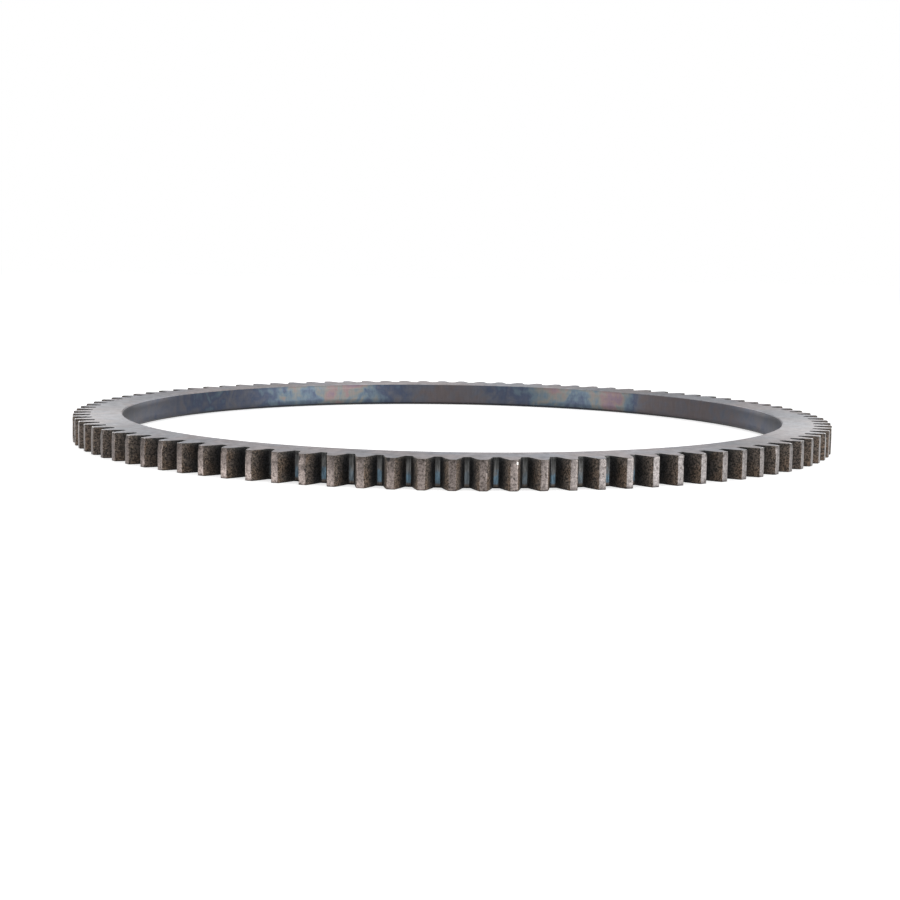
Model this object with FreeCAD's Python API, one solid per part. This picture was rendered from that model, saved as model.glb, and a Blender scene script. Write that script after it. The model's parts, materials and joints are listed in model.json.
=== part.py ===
import FreeCAD, Part

import math
import os

# Starter ring gear of a small engine's flywheel: one steel ring with spur teeth cut round its outside
# and a plain bore that is shrunk over the flywheel's rim, with a lead-in at its bottom end. It lies on
# its bottom face with its axis on +Z and its origin at the middle of that face. One tooth is centred on
# the -Y axis.

# Tooth system: a full-depth involute spur tooth, with its heights in modules as gear cutters state them
TEETH = 97
MODULE = 2.54
PRESSURE_ANGLE = 20.0
ADDENDUM = 1.0
DEDENDUM = 1.25

# Sizes in millimetres
FACE_WIDTH = 8.4
RIM_DEPTH = 10.2
ROOT_FILLET = 0.45
TIP_CHAMFER = 0.2
BORE_CHAMFER = 0.3
LEAD_IN_WIDTH = 2.0
LEAD_IN_HEIGHT = 1.0

# How far the tooth-space cutter runs out past the tooth tips and past the two faces
CUTTER_OVERRUN = 1.0

# Points that carry one flank's involute curve
FLANK_POINTS = 5

PITCH_RADIUS = MODULE * TEETH / 2
BASE_RADIUS = PITCH_RADIUS * math.cos(math.radians(PRESSURE_ANGLE))
TIP_RADIUS = PITCH_RADIUS + ADDENDUM * MODULE
ROOT_RADIUS = PITCH_RADIUS - DEDENDUM * MODULE
BORE_RADIUS = ROOT_RADIUS - RIM_DEPTH
TOOTH_ANGLE = 2 * math.pi / TEETH
FIRST_SPACE_ANGLE = TOOTH_ANGLE / 2 - math.pi / 2

ORIGIN = FreeCAD.Vector(0, 0, 0)
AXIS = FreeCAD.Vector(0, 0, 1)


def involute(pressure_angle):
    """Angle that an involute has turned through where its pressure angle is this one, in radians."""
    return math.tan(pressure_angle) - pressure_angle


def space_half_angle(radius):
    """Half the angle that the space between two teeth spans at this radius, in radians.

    It is a quarter of the tooth pitch at the pitch circle, and opens outwards with the involute.
    Below the base circle, where no involute exists, the flank runs on along a radius.
    """
    here = involute(math.acos(min(BASE_RADIUS / radius, 1.0)))
    at_pitch = involute(math.radians(PRESSURE_ANGLE))
    return TOOTH_ANGLE / 4 + here - at_pitch


def polar(radius, angle):
    """Point at this radius and angle, level with the underside of the cutter."""
    return FreeCAD.Vector(radius * math.cos(angle), radius * math.sin(angle), -CUTTER_OVERRUN)


def root_fillet():
    """Radius of the root fillet, and the polar places of its centre and of its touch point on the flank.

    The centre lies on a curve parallel to the involute, and a normal of the involute touches the base
    circle, so the touch point is one fillet radius further down the same normal. The fillet is at most
    as large as half the bottom of the space.
    """
    fillet = min(ROOT_FILLET, ROOT_RADIUS * space_half_angle(ROOT_RADIUS))
    centre_radius = ROOT_RADIUS + fillet
    roll_at_centre = math.sqrt(max((centre_radius / BASE_RADIUS) ** 2 - 1, 0.0))
    roll_at_touch = roll_at_centre - fillet / BASE_RADIUS
    if roll_at_touch > 0:
        touch_radius = BASE_RADIUS * math.hypot(1, roll_at_touch)
        centre_angle = space_half_angle(centre_radius) - fillet / BASE_RADIUS
    else:
        touch_radius = math.sqrt(centre_radius ** 2 - fillet ** 2)
        centre_angle = space_half_angle(touch_radius) - math.asin(fillet / centre_radius)
    return fillet, centre_radius, centre_angle, touch_radius


def space_side(side):
    """Flank and root fillet on one side of a space, side being 1 or -1.

    Returns the two edges, the flank's outer end and the fillet's end on the floor of the space.
    """
    fillet, centre_radius, centre_angle, touch_radius = root_fillet()
    step = (TIP_RADIUS + CUTTER_OVERRUN - touch_radius) / (FLANK_POINTS - 1)
    radii = [touch_radius + step * i for i in range(FLANK_POINTS)]
    points = [polar(radius, side * space_half_angle(radius)) for radius in radii]
    flank = Part.BSplineCurve()
    flank.interpolate(points)

    centre = polar(centre_radius, side * centre_angle)
    floor = polar(centre_radius - fillet, side * centre_angle)
    outwards = (points[0] - centre) + (floor - centre)
    middle = centre + outwards.normalize() * fillet
    rounding = Part.Arc(points[0], middle, floor)
    return flank.toShape(), rounding.toShape(), points[-1], floor


def tooth_space():
    """Cutter for one tooth space, centred on +X: its outline ruled straight up past both faces."""
    left_flank, left_fillet, left_end, left_floor = space_side(1)
    right_flank, right_fillet, right_end, right_floor = space_side(-1)
    floor = Part.makeLine(left_floor, right_floor)
    mouth = Part.makeLine(right_end, left_end)
    lower = Part.Wire([left_flank, left_fillet, floor, right_fillet, right_flank, mouth])
    upper = lower.translated(AXIS * (FACE_WIDTH + 2 * CUTTER_OVERRUN))
    return Part.makeLoft([lower, upper], True, True)


def turned_blank():
    """Ring before its teeth are cut, turned round the axis.

    The section is a rectangle with broken corners, apart from the bore's bottom end, where a wide flat
    lead-in helps the hot ring over the flywheel's rim.
    """
    section = [
        (BORE_RADIUS + LEAD_IN_WIDTH, 0),
        (TIP_RADIUS - TIP_CHAMFER, 0),
        (TIP_RADIUS, TIP_CHAMFER),
        (TIP_RADIUS, FACE_WIDTH - TIP_CHAMFER),
        (TIP_RADIUS - TIP_CHAMFER, FACE_WIDTH),
        (BORE_RADIUS + BORE_CHAMFER, FACE_WIDTH),
        (BORE_RADIUS, FACE_WIDTH - BORE_CHAMFER),
        (BORE_RADIUS, LEAD_IN_HEIGHT),
    ]
    corners = [FreeCAD.Vector(radius, 0, height) for radius, height in section]
    profile = Part.Face(Part.makePolygon(corners + corners[:1]))
    return profile.revolve(ORIGIN, AXIS, 360)


def ring_gear():
    """The turned blank with one tooth space cut out at every pitch."""
    cutter = tooth_space()
    spaces = []
    for tooth in range(TEETH):
        angle = math.degrees(FIRST_SPACE_ANGLE + tooth * TOOTH_ANGLE)
        spaces.append(cutter.copy().rotate(ORIGIN, AXIS, angle))
    return turned_blank().cut(spaces).Solids[0]


ring = ring_gear()
os.makedirs("parts", exist_ok=True)
ring.exportStep("parts/ring_gear.step")
print("tip diameter", round(2 * TIP_RADIUS, 2), "bore diameter", round(2 * BORE_RADIUS, 2))
print("volume in cubic centimetres", round(ring.Volume / 1000, 2), "valid", ring.isValid())
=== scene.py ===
"""Looks of a flywheel ring gear: a flat hardened steel ring with 97 involute teeth.

The ring is one closed surface worked out as whole arrays: the outline of a tooth, taken
round the ring, is carried down its edge, under it, up the bore and back over the top.
"""

import json
import math

import bpy
import numpy as np
from bpy.props import FloatProperty, FloatVectorProperty, IntProperty, PointerProperty
from bpy.types import Operator, Panel, PropertyGroup
from mathutils import Matrix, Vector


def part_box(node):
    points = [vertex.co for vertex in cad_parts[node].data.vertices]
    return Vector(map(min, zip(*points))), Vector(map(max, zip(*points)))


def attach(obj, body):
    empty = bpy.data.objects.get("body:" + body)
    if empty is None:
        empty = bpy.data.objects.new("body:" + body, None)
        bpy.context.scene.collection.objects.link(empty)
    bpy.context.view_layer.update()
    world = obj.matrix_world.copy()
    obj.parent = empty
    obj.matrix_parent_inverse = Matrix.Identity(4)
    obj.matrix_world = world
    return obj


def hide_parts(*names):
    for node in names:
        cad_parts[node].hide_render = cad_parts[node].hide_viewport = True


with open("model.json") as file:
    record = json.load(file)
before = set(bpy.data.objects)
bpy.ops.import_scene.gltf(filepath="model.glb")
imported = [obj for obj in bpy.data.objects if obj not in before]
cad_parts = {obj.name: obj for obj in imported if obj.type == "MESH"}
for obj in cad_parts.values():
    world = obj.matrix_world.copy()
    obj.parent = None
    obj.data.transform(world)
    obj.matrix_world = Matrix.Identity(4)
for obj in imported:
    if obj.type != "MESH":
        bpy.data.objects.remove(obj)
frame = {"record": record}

bl_info = {
    "name": "Flywheel ring gear",
    "version": (1, 0, 0),
    "blender": (4, 5, 0),
    "location": "View3D > Sidebar > Ring Gear",
    "description": "Makes a worn steel flywheel ring gear and a plain studio for it",
    "category": "Add Mesh",
}

MM = 0.001
NODE = "ring_gear"
LOW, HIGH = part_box(NODE)
FACE_WIDTH = HIGH.z - LOW.z
MOUNTS = {mount["name"]: mount for mount in frame["record"]["mounts"]}
BORE_RADIUS = MOUNTS["bore"]["dims"]["r_mm"] * MM

# Stations of half a tooth, from the middle of its tip land to the middle of the root land:
# shares of the way along the tip land, the corner arc, the flank, the fillet and the root land.
TIP_STEPS = np.array([0.0, 0.5])
CORNER_STEPS = np.linspace(0.0, 1.0, 4)
FLANK_STEPS = np.linspace(0.0, 1.0, 6)[1:-1]
FILLET_STEPS = np.linspace(0.0, 1.0, 4)
ROOT_STEPS = np.array([0.5, 1.0])

# How far each of these stations belongs to the tip land and to the root land, and how rough it is.
TIP_SHARE = np.array([1, 1, 0.85, 0.5, 0.2, 0.05] + [0] * 10)
ROOT_SHARE = np.array([0] * 12 + [0.1, 0.55, 0.95, 1])
ROUGH_SHARE = np.array([0.2, 0.2, 0.3, 0.4, 0.5, 0.8, 1, 1, 1, 1, 0.7, 0.4, 0.3, 0.2, 0.1, 0.1])

# Rows of the section: angles of the round at each face, in degrees, the number of rows between
# the two rounds, and shares of the way across the lower face, up the bore and across the upper
# face.
ROUND_STEPS = np.linspace(90.0, 0.0, 5)
EDGE_STEPS = 9
LOWER_FACE_STEPS = np.array([1.0, 2.0]) / 3.0
WALL_STEPS = np.linspace(0.0, 1.0, 5)
UPPER_FACE_STEPS = np.array([0.25, 0.5, 0.75])

# How far the tip lands stay inside the solid's, and the least radius that a corner arc keeps.
TIP_CLEARANCE = 0.01 * MM
LEAST_ARC = 0.01 * MM

# Runs of teeth that look alike, counted from the tooth on -Y: middle, spread and, for the shaded
# ones, height. The first stopped under the pinion, the shaded ones get painted shade on the lower
# part of their tips, and the last get painted shade in their deep gaps.
PINION_RUN = (-8, 7.0)
TIP_SHADE_RUNS = ((-20, 1.3, 0.6), (-15, 5.5, 1.0), (0, 1.3, 0.7), (20, 1.5, 0.6))
GAP_SHADE_RUN = (-7, 1.6)

# Where the pinion's set-back of a tip begins, in shares of the face width, and over what
# height it deepens.
KINK_FROM = (0.66, 0.80)
KINK_HEIGHT = 0.9 * MM

# How far below a face the scale's relief reaches its full depth.
RELIEF_FADE = 0.5 * MM

# The strip of the tip lands over which they turn from rubbed to wiped, from x = 0 towards +X.
WIPED_FROM = 60.0 * MM

# Bell curves round the ring, in degrees from the x axis: centre, width and height. They give the
# thickness of the bore's oxide film, soft patches of painted shade on the faces, and the ring's
# two ends, where painted shade darkens the top of the bore.
FILM_BELLS = (
    (172, 18, 0.20),
    (146, 9, 0.36),
    (126, 9, 0.52),
    (113, 7, 0.70),
    (102, 6, 0.26),
    (79, 5, 0.30),
    (67.5, 7.5, 0.58),
    (55, 5.5, 0.84),
    (8, 18, 0.20),
    (-20, 12, 0.35),
    (-50, 9, 0.60),
    (-85, 14, 0.30),
    (-120, 9, 0.60),
    (-150, 12, 0.30),
)
FACE_SHADE_BELLS = (
    (56, 16, 0.26),
    (125, 11, 0.26),
    (212, 9, 0.16),
    (258, 12, 0.08),
    (322, 14, 0.20),
)
END_BELLS = ((178, 18, 0.7), (2, 18, 0.7))

# Scales of the noises on the teeth: at 1000, a spot is about a millimetre wide.
FINE = 3000.0
GRAIN = 1600.0
COARSE = 800.0
CLOUD = 210.0

# Softboxes: name, place, width and height, and the setting that holds the power.
SOFTBOXES = (
    ("left_softbox", (-1.0, -0.66, 0.2), (0.8, 0.4), "left_power"),
    ("right_softbox", (0.95, -0.65, 0.2), (1.0, 0.4), "right_power"),
    ("back_left_softbox", (-0.6, 1.15, 0.3), (0.5, 0.5), "back_power"),
    ("back_right_softbox", (0.6, 1.15, 0.3), (0.5, 0.5), "back_power"),
    ("top_softbox", (0.0, 0.1, 1.3), (1.0, 1.0), "top_power"),
)

# The camera's angles in degrees: how high it stands, how far it looks down and aside, how far
# it leans, and how far it stands round from the middle of a tooth.
RAISED = 6.20036
LOOKS_DOWN = 7.15509
LOOKS_ASIDE = -0.05806
LEANS = 0.93405
STANDS_ROUND = -0.14
SENSOR_WIDTH = 36.0
NEAREST, FARTHEST = 0.01, 50.0

# The floor's half width, how far it lies below the ring, its points along a side, and how
# strongly it glows where it is seen.
FLOOR_HALF = 3.0
FLOOR_DROP = 0.02 * MM
FLOOR_POINTS = 5
FLOOR_GLOW = 0.6


class RingShape(PropertyGroup):
    """Sizes of the ring's true form."""

    teeth: IntProperty(name="Teeth", description="Number of teeth", default=97, min=12)
    module: FloatProperty(
        name="Module",
        description="Pitch diameter for each tooth",
        default=2.54 * MM,
        subtype="DISTANCE",
        precision=5,
    )
    pressure_angle: FloatProperty(
        name="Pressure angle",
        description="Slope of a flank at the pitch circle",
        default=math.radians(20.0),
        subtype="ANGLE",
    )
    addendum: FloatProperty(
        name="Addendum", description="Tooth height over the pitch circle, in modules", default=1.0
    )
    dedendum: FloatProperty(
        name="Dedendum", description="Tooth depth under the pitch circle, in modules", default=1.25
    )
    root_fillet: FloatProperty(
        name="Root fillet",
        description="Radius between a flank and the root land",
        default=0.45 * MM,
        subtype="DISTANCE",
        precision=5,
    )
    tip_corner: FloatProperty(
        name="Tip corner",
        description="Radius between a flank and the tip land",
        default=0.27 * MM,
        subtype="DISTANCE",
        precision=5,
    )
    tip_round: FloatProperty(
        name="Tip rounding",
        description="Radius between the tip lands and the two faces",
        default=0.15 * MM,
        subtype="DISTANCE",
        precision=5,
    )
    edge_break: FloatProperty(
        name="Edge break",
        description="Radius along the tooth outline, where it meets the two faces",
        default=0.16 * MM,
        subtype="DISTANCE",
        precision=5,
    )
    bore_chamfer: FloatProperty(
        name="Bore chamfer",
        description="Chamfer at the top end of the bore",
        default=0.3 * MM,
        subtype="DISTANCE",
        precision=5,
    )
    lead_in_width: FloatProperty(
        name="Lead-in width",
        description="How much wider than the bore its bottom end opens, on each side",
        default=2.0 * MM,
        subtype="DISTANCE",
        precision=5,
    )
    lead_in_height: FloatProperty(
        name="Lead-in height",
        description="How far up the bore the lead-in goes",
        default=1.0 * MM,
        subtype="DISTANCE",
        precision=5,
    )


class RingWear(PropertyGroup):
    """How used the teeth look."""

    seed: IntProperty(name="Seed", description="Start of the random marks", default=11, min=0)
    kink: FloatProperty(
        name="Engagement wear",
        description="How far the upper part of a tip is set back by the starter pinion",
        default=0.3 * MM,
        subtype="DISTANCE",
        precision=5,
    )
    relief: FloatProperty(
        name="Scale relief",
        description="Unevenness of the hot-rolled skin on the flanks",
        default=0.06 * MM,
        subtype="DISTANCE",
        precision=5,
    )
    nicks: IntProperty(name="Nicks", description="Number of random edge nicks", default=260, min=1)
    nick_depth: FloatProperty(
        name="Nick depth",
        description="Depth of the deepest nick",
        default=0.3 * MM,
        subtype="DISTANCE",
        precision=5,
    )


def colour(name, description, default):
    """A colour property, in linear light."""
    return FloatVectorProperty(
        name=name, description=description, default=default, subtype="COLOR", min=0.0, max=1.0
    )


class RingColours(PropertyGroup):
    """Colours of the steel and of what lies on it."""

    face: colour("Turned face", "Clean steel of the two flat faces", (0.318, 0.312, 0.315))
    land: colour("Tip land", "Rubbed steel of the tip lands", (0.200, 0.168, 0.155))
    wiped: colour("Wiped tip land", "Cleaner tip lands towards +X", (0.200, 0.184, 0.180))
    skin: colour("Scale", "Brown mill scale on the flanks", (0.095, 0.076, 0.063))
    flake: colour("Loose scale", "Tan flakes on the flanks", (0.30, 0.235, 0.18))
    # Painted shade deep in the tooth spaces, and the colour of dark dents
    dark_scale_and_shade: colour("Dark scale and shade", "Painted shade deep in the tooth spaces, and dark dents", (0.017, 0.017, 0.018))
    root: colour("Root land", "Steel of the root lands", (0.104, 0.104, 0.103))
    tint: colour("Heat tint", "Blue heat tint on the root lands", (0.086, 0.134, 0.174))
    bore: colour("Bore", "Slate oxide of the bore", (0.113, 0.117, 0.140))
    # Fresh metal in the nicks, and a painted highlight along the top edges
    bright: colour("Bright metal and highlight", "Fresh metal in nicks, and a painted highlight along edges", (0.55, 0.53, 0.51))


class StageSettings(PropertyGroup):
    """Camera and light of the studio."""

    lens: FloatProperty(
        name="Lens", description="Focal length, in millimetres", default=63.55, subtype="NONE"
    )
    distance: FloatProperty(
        name="Camera distance",
        description="From the middle of the ring to the camera",
        default=540.808 * MM,
        subtype="DISTANCE",
    )
    ambient: FloatProperty(
        name="Ambient", description="Strength of the room's own light", default=0.5
    )
    left_power: FloatProperty(
        name="Left softbox", description="Power of the left softbox", default=5.5, unit="POWER"
    )
    right_power: FloatProperty(
        name="Right softbox", description="Power of the right softbox", default=10.0, unit="POWER"
    )
    back_power: FloatProperty(
        name="Back softboxes", description="Power of each back softbox", default=4.0, unit="POWER"
    )
    top_power: FloatProperty(
        name="Top softbox", description="Power of the top softbox", default=2.0, unit="POWER"
    )


class Wire:
    """A node's output. An operator on wires and numbers adds the Math node that works it out."""

    def __init__(self, tree, socket):
        self.tree = tree
        self.socket = socket

    def math(self, operation, *values):
        return self.tree.node("ShaderNodeMath", {"operation": operation}, dict(enumerate(values)))

    def __add__(self, other):
        return self.math("ADD", self, other)

    def __sub__(self, other):
        return self.math("SUBTRACT", self, other)

    def __rsub__(self, other):
        return self.math("SUBTRACT", other, self)

    def __mul__(self, other):
        return self.math("MULTIPLY", self, other)

    def __truediv__(self, other):
        return self.math("DIVIDE", self, other)

    __radd__ = __add__
    __rmul__ = __mul__


class Tree:
    """The node tree of a material or of the world."""

    def __init__(self, tree):
        self.tree = tree
        tree.nodes.clear()

    def node(self, kind, settings=None, values=None, output=0):
        """Adds a node: its settings first, then the numbers or wires of its inputs."""
        node = self.tree.nodes.new(kind)
        for name, value in (settings or {}).items():
            if name == "stops":
                self.set_stops(node.color_ramp, value)
            else:
                setattr(node, name, value)
        for key, value in (values or {}).items():
            if isinstance(value, Wire):
                self.tree.links.new(value.socket, node.inputs[key])
            else:
                node.inputs[key].default_value = value
        return Wire(self, node.outputs[output]) if len(node.outputs) else None

    @staticmethod
    def set_stops(colour_ramp, stops):
        """Gives a colour ramp its stops, each a place from 0 to 1 and a colour."""
        elements = colour_ramp.elements
        elements.remove(elements[1])
        elements[0].position = stops[0][0]
        elements[0].color = (*stops[0][1], 1.0)
        for place, shade in stops[1:]:
            elements.new(place).color = (*shade, 1.0)

    def place(self):
        return self.node("ShaderNodeTexCoord", output="Object")

    def attribute(self, name):
        return self.node("ShaderNodeAttribute", {"attribute_name": name}, output="Fac")

    def noise(self, vector, scale, detail=2.0, roughness=0.5, distortion=0.0):
        values = {
            "Vector": vector,
            "Scale": scale,
            "Detail": detail,
            "Roughness": roughness,
            "Distortion": distortion,
        }
        return self.node("ShaderNodeTexNoise", {"noise_dimensions": "3D"}, values)

    def step(self, value, start, end, low=0.0, high=1.0):
        """Goes smoothly from low, where the value is at start, to high, where it is at end."""
        values = {0: value, 1: start, 2: end, 3: low, 4: high}
        return self.node("ShaderNodeMapRange", {"interpolation_type": "SMOOTHSTEP"}, values)

    def mix(self, factor, first, second, blend="MIX"):
        """Mixes two colours."""
        settings = {"data_type": "RGBA", "blend_type": blend, "clamp_factor": True}
        values = {0: factor, 6: self.opaque(first), 7: self.opaque(second)}
        return self.node("ShaderNodeMix", settings, values, output=2)

    @staticmethod
    def opaque(shade):
        return shade if isinstance(shade, Wire) else (*tuple(shade)[:3], 1.0)

    def scaled(self, shade, factor):
        """A colour times a value."""
        values = {0: shade, 3: factor}
        return self.node("ShaderNodeVectorMath", {"operation": "SCALE"}, values)

    def bump(self, height, distance, strength=1.0):
        values = {"Height": height, "Distance": distance, "Strength": strength}
        return self.node("ShaderNodeBump", None, values)

    def principled(self, values):
        shader = self.node("ShaderNodeBsdfPrincipled", None, values)
        self.node("ShaderNodeOutputMaterial", None, {"Surface": shader})


def new_material(name):
    material = bpy.data.materials.new(name)
    material.use_nodes = True
    return material, Tree(material.node_tree)


def polar(tree):
    """A point's place, its radius, and the unit vector that points from the axis to it.

    The vector runs round the ring without a seam, so a noise of it and of a stretched
    radius makes turning lines.
    """
    place = tree.place()
    flat = tree.node("ShaderNodeVectorMath", {"operation": "MULTIPLY"}, {0: place, 1: (1, 1, 0)})
    radius = tree.node("ShaderNodeVectorMath", {"operation": "LENGTH"}, {0: flat}, output="Value")
    around = tree.node("ShaderNodeVectorMath", {"operation": "NORMALIZE"}, {0: flat})
    return place, radius, around


def turned(tree, around, along, spacing, stretch):
    """Noise drawn out along the turning: close across the lines, long round the ring."""
    lift = tree.node("ShaderNodeCombineXYZ", None, {2: along / spacing})
    values = {0: around, 1: (stretch, stretch, 0.0), 2: lift}
    vector = tree.node("ShaderNodeVectorMath", {"operation": "MULTIPLY_ADD"}, values)
    return tree.noise(vector, 1.0, 3.0, 0.6)


def face_material(colours):
    """Fine-turned steel: close circular lines, mottling, soft patches of painted shade and a trace
    of tint.
    """
    material, t = new_material("turned_steel")
    place, radius, around = polar(t)
    lines = turned(t, around, radius, 0.16 * MM, 3.0)
    bands = turned(t, around, radius, 1.3 * MM, 7.0)
    cloud = t.noise(place, 55.0, 3.0, 0.6)
    grain = t.noise(place, 2200.0, 2.0, 0.6)
    mottle = t.noise(place, 430.0, 4.0, 0.75)
    tone = 0.62 + 0.36 * lines + 0.26 * bands + 0.22 * grain + 1.4 * (mottle - 0.5)
    # Soft patches of painted shade round the ring, which dim the softboxes' reflections
    tone = tone * (1.0 - t.attribute("stain"))
    pinkish = t.mix(t.step(cloud, 0.40, 0.62), (0.95, 0.98, 1.04), (1.04, 0.985, 0.99))
    shade = t.mix(1.0, pinkish, colours.face, "MULTIPLY")
    t.principled(
        {
            "Base Color": t.scaled(shade, tone),
            "Metallic": 1.0,
            "Roughness": 0.42 + 0.12 * bands + 0.08 * grain,
            "Anisotropic": 0.75,
            "Anisotropic Rotation": 0.25,
            "Specular Tint": (0.4, 0.4, 0.4, 1.0),
            "Normal": t.bump(lines, 0.012 * MM, 0.6),
        }
    )
    return material


def drawn_out(tree, place, share):
    """A place with its height pressed together, so a noise of it makes upright streaks."""
    values = {0: place, 1: (1.0, 1.0, share)}
    return tree.node("ShaderNodeVectorMath", {"operation": "MULTIPLY"}, values)


def bore_material(colours):
    """Finely turned bore under an oxide film whose colour goes with its thickness.

    The ramp runs through the temper colours: brown, slate, navy, teal, straw, copper, mauve.
    """
    material, t = new_material("tempered_bore")
    place, _, around = polar(t)
    height = t.node("ShaderNodeSeparateXYZ", None, {0: place}, output=2)
    lines = turned(t, around, height, 0.18 * MM, 6.0)
    streak = t.noise(drawn_out(t, place, 0.2), 1000.0, 2.0, 0.6)
    thread = t.noise(drawn_out(t, place, 0.14), 2400.0, 1.0)
    cloud = t.noise(place, 150.0, 1.0, 0.5, 1.2)
    patch = t.noise(place, 430.0, 2.0, 0.6, 0.5)
    warmth = t.attribute("film")
    uneven = 1.0 * (cloud - 0.5) + 0.45 * (patch - 0.5) + 0.14 * (streak - 0.5)
    film = warmth + (0.4 + 0.8 * warmth) * uneven + 0.24 * warmth * (height / FACE_WIDTH - 0.4)
    stops = [
        (0.00, (0.130, 0.112, 0.116)),
        (0.18, tuple(colours.bore)),
        (0.36, (0.070, 0.085, 0.130)),
        (0.54, (0.108, 0.144, 0.178)),
        (0.70, (0.166, 0.166, 0.158)),
        (0.84, (0.196, 0.144, 0.144)),
        (1.00, (0.168, 0.126, 0.154)),
    ]
    shade = t.node("ShaderNodeValToRGB", {"stops": stops}, {0: film})
    tone = 0.54 + 0.12 * lines + 0.22 * streak + 0.14 * thread

    # Painted shade in the lead-in, and at the ring's ends towards the top
    lead_in_shade = t.step(height, 1.05 * MM, 0.85 * MM)
    end = t.attribute("end") * t.step(height, 0.2 * FACE_WIDTH, FACE_WIDTH)
    tone = tone * (1.0 - 0.65 * lead_in_shade) * (1.0 - end)
    t.principled(
        {
            "Base Color": t.scaled(shade, tone),
            "Metallic": 0.9,
            "Roughness": 0.36 + 0.14 * streak,
            "Anisotropic": 0.75,
            "Anisotropic Rotation": 0.25,
            "Specular Tint": (0.6, 0.6, 0.6, 1.0),
            "Normal": t.bump(lines, 0.010 * MM, 0.5),
        }
    )
    return material


class ToothPattern:
    """The attributes and noises that all parts of a tooth share."""

    def __init__(self, t):
        self.place = t.place()
        self.height = t.attribute("height")
        self.fine = t.noise(self.place, FINE, 1.0)
        self.grain = t.noise(self.place, GRAIN, 2.0, 0.65)
        self.coarse = t.noise(self.place, COARSE, 3.0, 0.6)
        self.cloud = t.noise(self.place, CLOUD)


def flank_shade(t, colours, on):
    """Flanks: painted shade, near black, deep in the space; brown and grainy towards the tip."""
    depth = t.attribute("depth")
    near_tip = t.step(depth + 0.22 * (on.coarse - 0.5) + 0.1 * (on.cloud - 0.5), 0.18, 1.0)
    # Painted shade: near black deep in the tooth space, fading out towards the tip
    flank = t.mix(near_tip, colours.dark_scale_and_shade, colours.skin)
    flank = t.scaled(flank, 0.25 + 1.5 * t.step(0.6 * on.grain + 0.4 * on.fine, 0.42, 0.58))
    rust = t.step(on.cloud - 0.2 * on.height, 0.34, 0.52)
    flank = t.mix(rust * 0.6, flank, t.mix(1.0, flank, (1.18, 0.98, 0.78), "MULTIPLY"))
    flake = t.step(t.noise(on.place, 2600.0, 0.0), 0.69, 0.75)
    return t.mix(flake * near_tip * 0.8, flank, colours.flake)


def land_shade(t, colours, on):
    """Tip lands: rubbed steel with pits. On the teeth the pinion struck they are darker at the top
    and lighter low down, a painted highlight; the shaded runs get painted shade low down, and all
    are a little darker towards the top.
    """
    tooth = t.attribute("tooth_tone")
    struck = t.attribute("struck")
    upper = on.height + 0.14 * (on.coarse - 0.5) + 0.16 * (tooth - 0.5)
    darkening = 1.0 - 0.52 * struck * t.step(upper, 0.42, 0.70)
    # Painted shade on the lower part of the tips of the shaded runs
    darkening = darkening * (1.0 - 0.34 * t.attribute("worn") * t.step(upper, 0.75, 0.50))
    darkening = darkening * (1.0 - 0.16 * t.step(on.height, 0.45, 0.85))
    # A painted highlight on the lower part of the tips that the pinion struck
    level = darkening * (1.0 + 0.55 * struck * t.step(upper, 0.42, 0.10)) * (0.88 + 0.24 * tooth)
    across = t.node("ShaderNodeSeparateXYZ", None, {0: on.place}, output=0)
    land = t.mix(t.step(across, 0.0, WIPED_FROM), colours.land, colours.wiped)
    speckle = t.step(0.5 * on.grain + 0.5 * on.fine, 0.40, 0.60) - 0.5
    spots = 0.62 * speckle + 0.9 * (on.coarse - 0.5)
    spots = spots * t.step(across, 0.0, WIPED_FROM, 1.0, 0.75)
    land = t.scaled(land, level * (1.0 + spots))
    pit = t.step(0.55 * on.coarse + 0.45 * on.grain, 0.39, 0.33)
    return t.mix(pit * 0.8, land, t.scaled(colours.skin, 0.6))


def root_shade(t, colours, on):
    """Root lands: dark at the top, blue lower down, brown at the foot, streaked upright, with a
    painted shadow along the very foot and painted shade in the deep gaps.
    """
    gap = t.step(t.attribute("gap_tone"), 0.0, 0.5, 0.3, 1.0)
    patch = t.step(on.height + 0.4 * (on.cloud - 0.5) + 0.5 * (on.coarse - 0.5), 0.58, 0.38)
    patch = patch * t.step(on.height, 0.07, 0.14)
    # Painted shade in the deep gaps, which also hides their blue
    deep = t.attribute("deep")
    root = t.mix(patch * gap * (1.0 - deep), colours.root, colours.tint)
    foot = t.step(on.height + 0.08 * (on.coarse - 0.5), 0.17, 0.10)
    root = t.mix(foot * 0.8, root, t.scaled(colours.skin, 0.8))
    streak = t.noise(drawn_out(t, on.place, 0.12), 2800.0, 2.0, 0.6)
    streaked = 0.66 + 0.68 * t.step(streak, 0.36, 0.64)
    root = t.scaled(root, t.step(on.height, 0.95, 0.50, 0.5, 1.0) * streaked)
    # Painted shadow along the very foot, where the ring stands on the floor, and painted shade in
    # the deep gaps
    return t.scaled(root, t.step(on.height, 0.03, 0.07, 0.2, 1.0) * (1.0 - 0.7 * deep))


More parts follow.
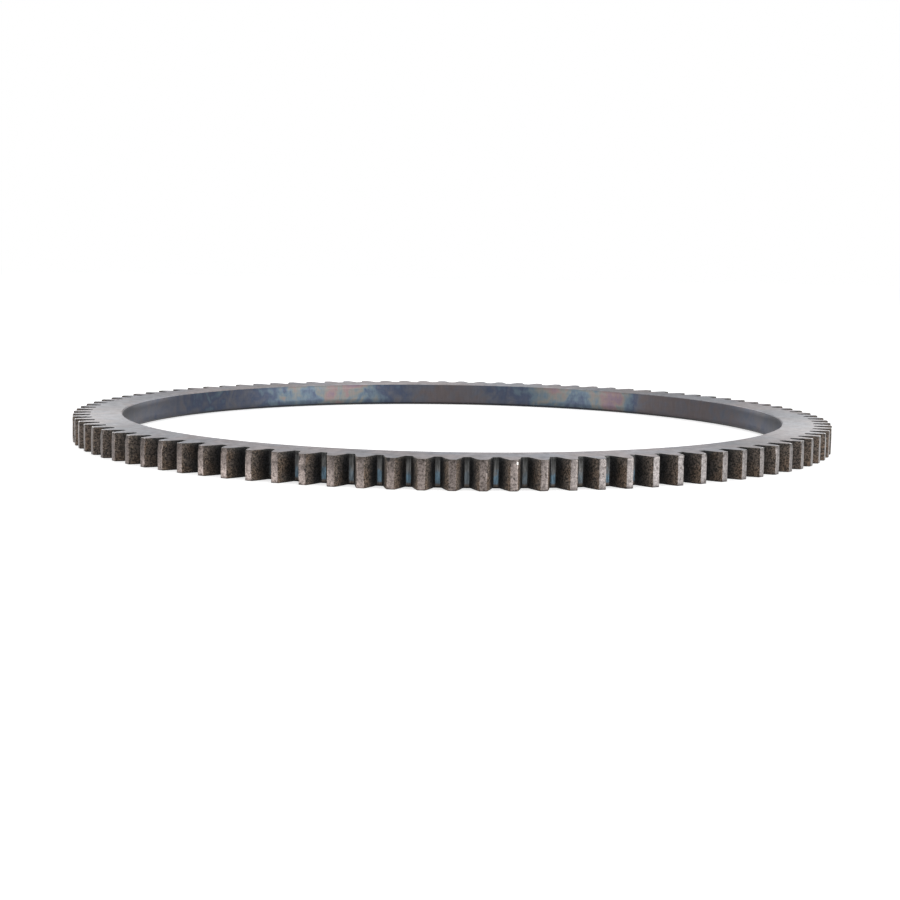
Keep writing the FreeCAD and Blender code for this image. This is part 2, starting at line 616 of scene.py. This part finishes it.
def tooth_material(colours):
    """Scaly flanks, rubbed tip lands and heat-tinted root lands, told apart by attributes."""
    material, t = new_material("tooth_scale")
    on = ToothPattern(t)
    ragged = 0.26 * (on.coarse - 0.5) + 0.24 * (on.grain - 0.5)
    on_tip = t.step(t.attribute("tip") + ragged, 0.32, 0.56)
    on_root = t.step(t.attribute("root") + 0.4 * ragged, 0.35, 0.60)
    shade = t.mix(on_root, flank_shade(t, colours, on), root_shade(t, colours, on))
    shade = t.mix(on_tip, shade, land_shade(t, colours, on))

    # Painted shade at the brow and at the foot, a painted highlight along the top edges, and bright
    # or black where the metal is marked
    brow_shade = 1.0 - 0.32 * t.step(on.height, 0.84, 0.93)
    shade = t.scaled(shade, brow_shade * t.step(on.height, 0.01, 0.06, 0.42, 1.0))
    edge = t.attribute("edge")
    end = t.attribute("end")
    # A painted highlight along the top edges, left out at the ring's two ends
    rim_highlight = edge * t.step(on.coarse, 0.36, 0.56, 0.2, 0.9) * (1.0 - end)
    shade = t.mix(rim_highlight, shade, t.scaled(colours.bright, 0.75))
    nick = t.attribute("nick")
    shade = t.mix(t.step(nick, 0.35, 0.75), shade, colours.bright)
    shade = t.mix(t.step(nick, -0.30, -0.65) * 0.85, shade, colours.dark_scale_and_shade)

    # Clean metal on the lands, and blunt edges at the ring's two ends
    clean = t.node("ShaderNodeMath", {"operation": "MAXIMUM"}, {0: on_tip, 1: on_root})
    blunt = 1.2 * edge * end
    t.principled(
        {
            "Base Color": shade,
            "Metallic": 0.15 + 0.75 * clean,
            "Roughness": 0.72 - 0.34 * clean + 0.20 * (on.grain - 0.5) + blunt,
            "Specular IOR Level": 0.35,
            "Normal": t.bump(0.5 * on.grain + 0.5 * on.coarse, 0.16 * MM, 0.75 - 0.45 * clean),
        }
    )
    return material


def involute(angle):
    """How far an involute has turned where its pressure angle is this: tan(angle) - angle."""
    return np.tan(angle) - angle


def half_tooth(shape, inset, tip_radius):
    """Polar outline of half a tooth: radius, and angle from the middle of the tooth.

    With Rb the base radius, a flank's half angle at radius r is
        a(r) = pitch/4 + inv(pressure angle) - inv(arccos(Rb / r)).
    A curve that lies a distance d inside the flank is the same curve turned by d / Rb, so
    the centres of the corner arc and of the root fillet lie on such curves too, and a
    station on any inset outline is found in closed form. The two arrays that come in
    match each other; the outline's stations are added as their last axis.
    """
    pitch_angle = 2.0 * math.pi / shape.teeth
    pitch_radius = shape.teeth * shape.module / 2.0
    base = pitch_radius * math.cos(shape.pressure_angle)
    root = pitch_radius - shape.dedendum * shape.module
    corner = shape.tip_corner
    fillet = shape.root_fillet
    start = pitch_angle / 4.0 + involute(shape.pressure_angle)

    inset = np.asarray(inset)[..., None]
    tip = np.asarray(tip_radius)[..., None]
    inset, tip = np.broadcast_arrays(inset, tip)

    def half_angle(radius):
        return start - involute(np.arccos(base / radius))

    def point(radius, angle, reach, direction):
        """Polar point at a distance from a polar centre, in a direction from the x axis."""
        x = radius * np.cos(angle) + reach * np.cos(direction)
        y = radius * np.sin(angle) + reach * np.sin(direction)
        return np.hypot(x, y), np.arctan2(y, x)

    # The corner arc keeps its centre as the outline moves inwards, and loses radius.
    corner_radius = tip - corner
    corner_angle = half_angle(corner_radius) - corner / base
    corner_reach = np.maximum(corner - inset, LEAST_ARC)
    flank_top = np.sqrt(base**2 + (np.sqrt(corner_radius**2 - base**2) + corner) ** 2)
    flank_out = half_angle(flank_top) + math.pi / 2.0 - np.arccos(base / flank_top)
    turn = corner_angle + (flank_out - corner_angle) * CORNER_STEPS
    corner_r, corner_a = point(corner_radius, corner_angle, corner_reach, turn)

    # The fillet's centre also stays, and its radius grows.
    centre_radius = root + fillet
    centre_angle = half_angle(centre_radius) + fillet / base
    flank_foot = math.sqrt(base**2 + (math.sqrt(centre_radius**2 - base**2) - fillet) ** 2)
    foot_out = half_angle(flank_foot) + math.pi / 2.0 - math.acos(base / flank_foot)
    turn = foot_out + math.pi + (centre_angle - foot_out) * FILLET_STEPS
    fillet_r, fillet_a = point(centre_radius, centre_angle, fillet + inset, turn)

    tip_a = corner_angle * TIP_STEPS
    tip_r = (corner_radius + corner_reach) + 0.0 * tip_a
    flank_r = corner_r[..., -1:] + (fillet_r[..., :1] - corner_r[..., -1:]) * FLANK_STEPS
    flank_a = half_angle(flank_r) - inset / base
    root_a = fillet_a[..., -1:] + (pitch_angle / 2.0 - fillet_a[..., -1:]) * ROOT_STEPS
    root_r = fillet_r[..., -1:] + 0.0 * root_a
    radius = np.concatenate([tip_r, corner_r, flank_r, fillet_r, root_r], axis=-1)
    angle = np.concatenate([tip_a, corner_a, flank_a, fillet_a, root_a], axis=-1)
    return radius, angle


def full_tooth(half, sign=1.0):
    """Stations of a whole tooth, from one root land's middle to just short of the next's."""
    return np.concatenate([sign * half[..., :0:-1], half[..., :-1]], axis=-1)


def rounding(distance, radius):
    """How far a quarter round draws a wall in, this far past where the round begins."""
    past = np.clip(distance, 0.0, radius)
    return radius - np.sqrt(radius**2 - past**2)


def ramp(value, start, end):
    """0 up to start, 1 from end on, and smooth between."""
    share = np.clip((value - start) / (end - start), 0.0, 1.0)
    return share * share * (3.0 - 2.0 * share)


def edge_heights(shape):
    """Heights of the rows down the toothed edge: close in the two rounds, even between."""
    top = FACE_WIDTH - shape.tip_round
    round_part = top + shape.tip_round * np.sin(np.radians(ROUND_STEPS))
    middle = np.linspace(top, shape.tip_round, EDGE_STEPS + 2)[1:-1]
    return np.concatenate([round_part, middle, FACE_WIDTH - round_part[::-1]])


def run_of_teeth(teeth, middle, spread):
    """How far each tooth belongs to a run of teeth: a bell curve round the ring, up to 1."""
    away = (np.arange(teeth) - middle + teeth // 2) % teeth - teeth // 2
    return np.exp(-((away / spread) ** 2))


def under_pinion(teeth):
    """How often each tooth stopped under the pinion."""
    return run_of_teeth(teeth, *PINION_RUN)


def painted_tip_shade(teeth):
    """How much painted shade darkens the lower part of each tip land."""
    return sum(height * run_of_teeth(teeth, middle, spread) for middle, spread, height in TIP_SHADE_RUNS)


def tip_heights(shape, wear, rng):
    """Tip radius of each tooth at each height.

    It is the tip circle, less a quarter round at both faces, less a set-back of the upper
    part that the starter pinion leaves: a smooth step whose height and depth differ from
    tooth to tooth, deeper on the run of teeth that stopped under the pinion.
    """
    heights = edge_heights(shape)
    deep = 0.12 + 0.88 * under_pinion(shape.teeth)
    depth = wear.kink * deep * rng.uniform(0.55, 1.25, shape.teeth)
    start = FACE_WIDTH * rng.uniform(*KINK_FROM, shape.teeth)[:, None]
    step = depth[:, None] * ramp(heights[None, :], start, start + KINK_HEIGHT)
    foot = FACE_WIDTH - heights
    drop = rounding(heights - (FACE_WIDTH - shape.tip_round), shape.tip_round)
    drop = drop + rounding(foot - (FACE_WIDTH - shape.tip_round), shape.tip_round)
    tip = shape.module * (shape.teeth / 2.0 + shape.addendum) - TIP_CLEARANCE
    return tip - drop[None, :] - step, heights


def soften(field):
    """Averages a grid with its neighbours; it closes round the ring, which is its first axis."""
    field = 0.5 * field + 0.25 * (np.roll(field, 1, 0) + np.roll(field, -1, 0))
    inner = 0.5 * field[:, 1:-1] + 0.25 * (field[:, :-2] + field[:, 2:])
    return np.concatenate([field[:, :1], inner, field[:, -1:]], axis=1)


class Marks:
    """Places of the nicks: tooth, station on the tooth, height, radius, depth and shine."""

    # Nicks and specks that stand out: tooth, station, height in mm, radius in mm, depth in mm,
    # and shine, which is 1 or more for bright metal and -1 for a dark dent.
    SINGLE = (
        (2, 17.0, 7.35, 0.38, 0.16, 1.4),
        (0, 12.0, 7.1, 0.30, 0.05, 1.0),
        (7, 13.0, 4.4, 0.30, 0.08, 0.9),
        (2, 15.0, 3.3, 0.30, 0.14, -1.0),
        (4, 15.0, 3.1, 0.34, 0.16, -1.0),
        (-1, 15.4, 2.2, 0.30, 0.14, -1.0),
        (-5, 15.2, 1.4, 0.30, 0.12, -1.0),
        (-2, 13.6, 8.0, 0.60, 0.30, -0.7),
    )

    # Stations at the two corners of a tip land, where the random nicks lie.
    CORNERS = (11.0, 12.0, 13.0, 17.0, 18.0, 19.0)

    def __init__(self, shape, wear, rng):
        single = np.array(self.SINGLE)
        count = wear.nicks
        tooth = rng.integers(0, shape.teeth, count)
        corner = rng.choice(self.CORNERS, count)
        at_top = rng.random(count) < 0.6
        height = np.where(
            at_top, FACE_WIDTH - rng.exponential(0.5 * MM, count), rng.uniform(0, FACE_WIDTH, count)
        )
        size = rng.uniform(0.3, 0.8, count) * MM
        depth = wear.nick_depth * rng.uniform(0.25, 1.0, count) * size / (0.8 * MM)
        shine = rng.uniform(-0.8, 0.25, count)
        self.tooth = np.concatenate([single[:, 0], tooth]).astype(int) % shape.teeth
        self.station = np.concatenate([single[:, 1], corner]).round().astype(int)
        self.height = np.clip(np.concatenate([single[:, 2] * MM, height]), 0.0, FACE_WIDTH)
        self.size = np.concatenate([single[:, 3] * MM, size])
        self.depth = np.concatenate([single[:, 4] * MM, depth])
        self.shine = np.concatenate([single[:, 5], shine])

    def press(self, points, normals, heights):
        """Presses the nicks into the edge: each is a Gaussian hollow along the normal.

        points and normals are (teeth, stations, rows, 3). Returns the points moved, and
        the shine of the marks at each of them.
        """
        row = np.abs(heights[None, :] - self.height[:, None]).argmin(axis=1)
        centre = points[self.tooth, self.station, row]
        centre[:, 2] = self.height
        direction = normals[self.tooth, self.station, row]
        away = points[self.tooth] - centre[:, None, None, :]
        share = np.exp(-(away**2).sum(-1) / (self.size**2)[:, None, None])
        shift = share[..., None] * (self.depth[:, None] * direction)[:, None, None, :]
        moved = points.copy()
        np.subtract.at(moved, self.tooth, shift)
        shine = np.zeros(points.shape[:3])
        np.add.at(shine, self.tooth, share * self.shine[:, None, None])
        return moved, np.clip(shine, -1.0, 1.0)


def ring_points(shape, wear):
    """The ring as a grid of points, (columns round the ring, rows round the section, 3).

    A row has a height and an inset. The edge rows are tooth outlines, drawn in by the
    edge break next to the faces. The rows of the two faces lie on straight lines between
    the outline and the bore's chamfer, and the bore rows are circles. Also returned are
    what the materials read, one value for each point.
    """
    rng = np.random.default_rng(wear.seed)
    tip_radius, heights = tip_heights(shape, wear, rng)
    inset = rounding(heights - (FACE_WIDTH - shape.edge_break), shape.edge_break)
    inset = inset + rounding(shape.edge_break - heights, shape.edge_break)
    radius, angle = half_tooth(shape, inset[None, :], tip_radius)
    radius = full_tooth(radius)
    half = full_tooth(angle, -1.0)
    teeth, rows, stations = radius.shape
    start = 2.0 * math.pi / shape.teeth * np.arange(teeth) - math.pi / 2.0
    turn = start[:, None, None] + half
    edge = np.stack([radius * np.cos(turn), radius * np.sin(turn)], axis=-1)
    lift = np.broadcast_to(heights[None, :, None, None], (teeth, rows, stations, 1))
    edge = np.concatenate([edge, lift], axis=-1).transpose(0, 2, 1, 3)
    columns = teeth * stations

    ring = edge.reshape(columns, rows, 3)
    along = np.roll(ring, -1, 0) - np.roll(ring, 1, 0)
    normal = np.stack([along[..., 1], -along[..., 0], 0.0 * along[..., 0]], axis=-1)
    normal /= np.linalg.norm(normal, axis=-1, keepdims=True)
    skin = np.tile(full_tooth(ROUGH_SHARE), teeth)[:, None]
    free = ramp(heights, 0.0, RELIEF_FADE) * ramp(FACE_WIDTH - heights, 0.0, RELIEF_FADE)
    rough = soften(rng.random((columns, rows))) * skin * free[None, :]
    ring = ring - wear.relief * rough[..., None] * normal
    marks = Marks(shape, wear, rng)
    grid = (teeth, stations, rows)
    ring, shine = marks.press(ring.reshape(*grid, 3), normal.reshape(*grid, 3), heights)
    ring = ring.reshape(columns, rows, 3)
    shine = shine.reshape(columns, rows)

    bearing = np.arctan2(ring[:, rows // 2, 1], ring[:, rows // 2, 0])
    around = np.stack([np.cos(bearing), np.sin(bearing)], axis=-1)

    def circle(reach, height):
        flat = around * reach
        return np.concatenate([flat, np.full((columns, 1), height)], axis=-1)[:, None]

    under = circle(BORE_RADIUS + shape.lead_in_width, 0.0)
    over = circle(BORE_RADIUS + shape.bore_chamfer, FACE_WIDTH)
    wall_height = FACE_WIDTH - shape.bore_chamfer - shape.lead_in_height
    wall_heights = shape.lead_in_height + wall_height * WALL_STEPS
    wall = np.concatenate([circle(BORE_RADIUS, z) for z in wall_heights], axis=1)
    below = ring[:, -1:] + (under - ring[:, -1:]) * LOWER_FACE_STEPS[None, :, None]
    above = over + (ring[:, :1] - over) * UPPER_FACE_STEPS[None, :, None]
    points = np.concatenate([ring, below, under, wall, over, above], axis=1)

    full = (columns, points.shape[1])
    spare = full[1] - rows

    def spread(column_values):
        return np.broadcast_to(np.asarray(column_values)[:, None], full)

    def padded(values):
        return np.concatenate([values, np.zeros((columns, spare))], axis=1)

    tones = rng.random((2, teeth))
    after_tip = np.where(np.arange(stations) < stations // 2, 0, 1)
    gap_index = (np.arange(teeth)[:, None] + after_tip[None, :]) % teeth
    root = shape.module * (shape.teeth / 2.0 - shape.dedendum)
    tooth_depth = shape.module * (shape.addendum + shape.dedendum)
    reach = np.hypot(points[..., 0], points[..., 1])
    break_line = np.clip(inset / shape.edge_break * 2.0 - 0.6, 0.0, 1.0)
    break_line = break_line * (heights > FACE_WIDTH / 2)
    values = {
        "tip": spread(np.tile(full_tooth(TIP_SHARE), teeth)),
        "root": spread(np.tile(full_tooth(ROOT_SHARE), teeth)),
        "depth": np.clip((reach - root) / tooth_depth, 0.0, 1.0),
        "height": points[..., 2] / FACE_WIDTH,
        "edge": padded(np.broadcast_to(break_line[None, :], (columns, rows))),
        "nick": padded(shine),
        "tooth_tone": spread(np.repeat(tones[0], stations)),
        "struck": spread(np.repeat(under_pinion(shape.teeth), stations)),
        "worn": spread(np.repeat(painted_tip_shade(shape.teeth), stations)),
        "gap_tone": spread(tones[1][gap_index].reshape(-1)),
        "deep": spread(run_of_teeth(shape.teeth, *GAP_SHADE_RUN)[gap_index].reshape(-1)),
        "film": spread(bells(bearing, FILM_BELLS)),
        "stain": spread(bells(bearing, FACE_SHADE_BELLS)),
        "end": spread(bells(bearing, END_BELLS)),
    }
    return points, values, rows


def bells(bearing, table):
    """A sum of bell curves round the ring, each height * exp(-(angle from centre / width) ** 2)."""
    total = 0.0
    for centre, width, height in table:
        away = (np.degrees(bearing) - centre + 180.0) % 360.0 - 180.0
        total = total + height * np.exp(-((away / width) ** 2))
    return total


def grid_faces(columns, rows):
    """Four-sided faces of a grid that closes both ways, facing outwards, and the row of each."""
    column, row = np.meshgrid(np.arange(columns), np.arange(rows), indexing="ij")
    column_on = (column + 1) % columns
    row_on = (row + 1) % rows
    around_face = [
        column * rows + row,
        column * rows + row_on,
        column_on * rows + row_on,
        column_on * rows + row,
    ]
    return np.stack(around_face, axis=-1).reshape(-1, 4), row.reshape(-1)


def new_object(name, points, faces):
    """A mesh object from arrays of points and of four-sided faces."""
    mesh = bpy.data.meshes.new(name)
    mesh.vertices.add(len(points))
    mesh.vertices.foreach_set("co", points.astype(np.float32).ravel())
    mesh.loops.add(faces.size)
    mesh.loops.foreach_set("vertex_index", faces.astype(np.int32).ravel())
    mesh.polygons.add(len(faces))
    mesh.polygons.foreach_set("loop_start", np.arange(0, faces.size, 4, dtype=np.int32))
    mesh.update(calc_edges=True)
    if mesh.validate():
        raise RuntimeError(f"{name}: the faces of the mesh were not sound")
    made = bpy.data.objects.new(name, mesh)
    bpy.context.scene.collection.objects.link(made)
    return made


class RINGGEAR_OT_make_ring(Operator):
    """Makes the toothed ring, in place of the plain solid"""

    bl_idname = "ring_gear.make_ring"
    bl_label = "Make ring"

    def execute(self, context):
        scene = context.scene
        points, values, edge_rows = ring_points(scene.ring_shape, scene.ring_wear)
        columns, rows = points.shape[:2]
        faces, face_row = grid_faces(columns, rows)
        ring = new_object("toothed_ring", points.reshape(-1, 3), faces)
        mesh = ring.data
        for name, value in values.items():
            attribute = mesh.attributes.new(name, "FLOAT", "POINT")
            attribute.data.foreach_set("value", value.astype(np.float32).ravel())
        under = edge_rows + len(LOWER_FACE_STEPS)
        wall_end = under + len(WALL_STEPS) + 1
        on_edge = face_row < edge_rows - 1
        on_bore = (face_row >= under) & (face_row < wall_end - 1)
        kind = np.where(on_edge, 1, np.where(on_bore, 2, 0))
        mesh.polygons.foreach_set("material_index", kind.astype(np.int32))
        smooth = on_edge | ((face_row > under) & (face_row < wall_end - 1))
        mesh.polygons.foreach_set("use_smooth", smooth)
        for make in (face_material, tooth_material, bore_material):
            mesh.materials.append(make(scene.ring_colours))
        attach(ring, "root")
        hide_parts(NODE)
        return {"FINISHED"}


class RINGGEAR_OT_make_stage(Operator):
    """Makes the pale floor, the soft light and the camera"""

    bl_idname = "ring_gear.make_stage"
    bl_label = "Make stage"

    def execute(self, context):
        scene = context.scene
        scene.view_settings.view_transform = "Standard"
        stage = scene.stage_settings
        make_floor()
        make_world(scene, stage.ambient)
        for name, place, size, setting in SOFTBOXES:
            make_lamp(name, place, size, getattr(stage, setting))
        make_camera(scene, stage)
        return {"FINISHED"}


def seen(tree):
    """1 for what the camera sees, straight or in metal and glass, and 0 for plain light."""
    path = tree.node("ShaderNodeLightPath")
    outputs = path.socket.node.outputs
    camera = Wire(tree, outputs["Is Camera Ray"])
    glossy = Wire(tree, outputs["Is Glossy Ray"])
    through = Wire(tree, outputs["Is Transmission Ray"])
    return tree.node("ShaderNodeClamp", None, {0: camera + glossy + through})


def make_floor():
    """A wide flat floor that looks white and still shows where the ring shades it."""
    step = np.linspace(-FLOOR_HALF, FLOOR_HALF, FLOOR_POINTS)
    x, y = np.meshgrid(step, step, indexing="ij")
    points = np.stack([x, y, 0.0 * x - FLOOR_DROP], axis=-1).reshape(-1, 3)
    index = np.arange(FLOOR_POINTS**2).reshape(FLOOR_POINTS, FLOOR_POINTS)
    around_face = [index[:-1, :-1], index[1:, :-1], index[1:, 1:], index[:-1, 1:]]
    floor = new_object("floor", points, np.stack(around_face, axis=-1).reshape(-1, 4))
    material, t = new_material("floor_white")
    lit = t.node("ShaderNodeBsdfDiffuse", None, {"Color": (0.8, 0.8, 0.8, 1.0)})
    glow = t.node("ShaderNodeEmission", None, {"Strength": FLOOR_GLOW * seen(t)})
    both = t.node("ShaderNodeAddShader", None, {0: lit, 1: glow})
    t.node("ShaderNodeOutputMaterial", None, {"Surface": both})
    floor.data.materials.append(material)


def make_world(scene, ambient):
    """A white room: full strength where it is seen, and the plain level as light."""
    world = bpy.data.worlds.new("white_room")
    world.use_nodes = True
    scene.world = world
    t = Tree(world.node_tree)
    strength = ambient + (1.0 - ambient) * seen(t)
    values = {"Color": (1.0, 1.0, 1.0, 1.0), "Strength": strength}
    background = t.node("ShaderNodeBackground", None, values)
    t.node("ShaderNodeOutputWorld", None, {"Surface": background})


def make_lamp(name, place, size, power):
    """An oblong softbox, so wide and so high, that faces the middle of the ring."""
    lamp = bpy.data.lights.new(name, "AREA")
    lamp.shape = "RECTANGLE"
    lamp.size, lamp.size_y = size
    lamp.energy = power
    made = bpy.data.objects.new(name, lamp)
    x, y, z = place
    turn = math.atan2(x, -y)
    tilt = math.atan2(math.hypot(x, y), z)
    made.location = place
    made.rotation_euler = (tilt, 0.0, turn)
    bpy.context.scene.collection.objects.link(made)


def make_camera(scene, stage):
    """The camera in front of the ring, a little above it, as in the photograph."""
    raised = math.radians(RAISED)
    down = math.radians(LOOKS_DOWN)
    aside = math.radians(LOOKS_ASIDE)
    lean = math.radians(LEANS)
    ahead = np.array(
        [
            math.sin(aside) * math.cos(down),
            math.cos(aside) * math.cos(down),
            -math.sin(down),
        ]
    )
    level = np.array([math.cos(aside), -math.sin(aside), 0.0])
    upright = np.cross(level, ahead)
    right = math.cos(lean) * level + math.sin(lean) * upright
    up = math.cos(lean) * upright - math.sin(lean) * level
    place = Matrix.Identity(4)
    for column, axis in enumerate((right, up, -ahead)):
        for row in range(3):
            place[row][column] = axis[row]
    place[1][3] = -stage.distance * math.cos(raised)
    place[2][3] = FACE_WIDTH / 2.0 + stage.distance * math.sin(raised)
    camera = bpy.data.cameras.new("camera")
    camera.lens = stage.lens
    camera.sensor_width = SENSOR_WIDTH
    camera.clip_start = NEAREST
    camera.clip_end = FARTHEST
    made = bpy.data.objects.new("camera", camera)
    made.matrix_world = Matrix.Rotation(math.radians(STANDS_ROUND), 4, "Z") @ place
    scene.collection.objects.link(made)
    scene.camera = made


class RINGGEAR_PT_panel(Panel):
    """Lists the settings and the steps"""

    bl_idname = "RINGGEAR_PT_panel"
    bl_label = "Ring Gear"
    bl_space_type = "VIEW_3D"
    bl_region_type = "UI"
    bl_category = "Ring Gear"

    def draw(self, context):
        for title, owner, step in STEPS:
            box = self.layout.box()
            box.label(text=title)
            group = getattr(context.scene, owner)
            for name in group.__annotations__:
                box.prop(group, name)
            if step:
                box.operator(step)


GROUPS = {
    "ring_shape": RingShape,
    "ring_wear": RingWear,
    "ring_colours": RingColours,
    "stage_settings": StageSettings,
}
OPERATORS = (RINGGEAR_OT_make_ring, RINGGEAR_OT_make_stage)
STEPS = (
    ("Form", "ring_shape", None),
    ("Wear", "ring_wear", None),
    ("Colours", "ring_colours", RINGGEAR_OT_make_ring.bl_idname),
    ("Stage", "stage_settings", RINGGEAR_OT_make_stage.bl_idname),
)


def register():
    for owner, group in GROUPS.items():
        bpy.utils.register_class(group)
        setattr(bpy.types.Scene, owner, PointerProperty(type=group))
    for kind in (*OPERATORS, RINGGEAR_PT_panel):
        bpy.utils.register_class(kind)


def unregister():
    for kind in reversed((*OPERATORS, RINGGEAR_PT_panel)):
        bpy.utils.unregister_class(kind)
    for owner, group in reversed(GROUPS.items()):
        delattr(bpy.types.Scene, owner)
        bpy.utils.unregister_class(group)


def main():
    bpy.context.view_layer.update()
    register()
    bpy.ops.ring_gear.make_ring()
    bpy.ops.ring_gear.make_stage()


if __name__ == "__main__":
    main()
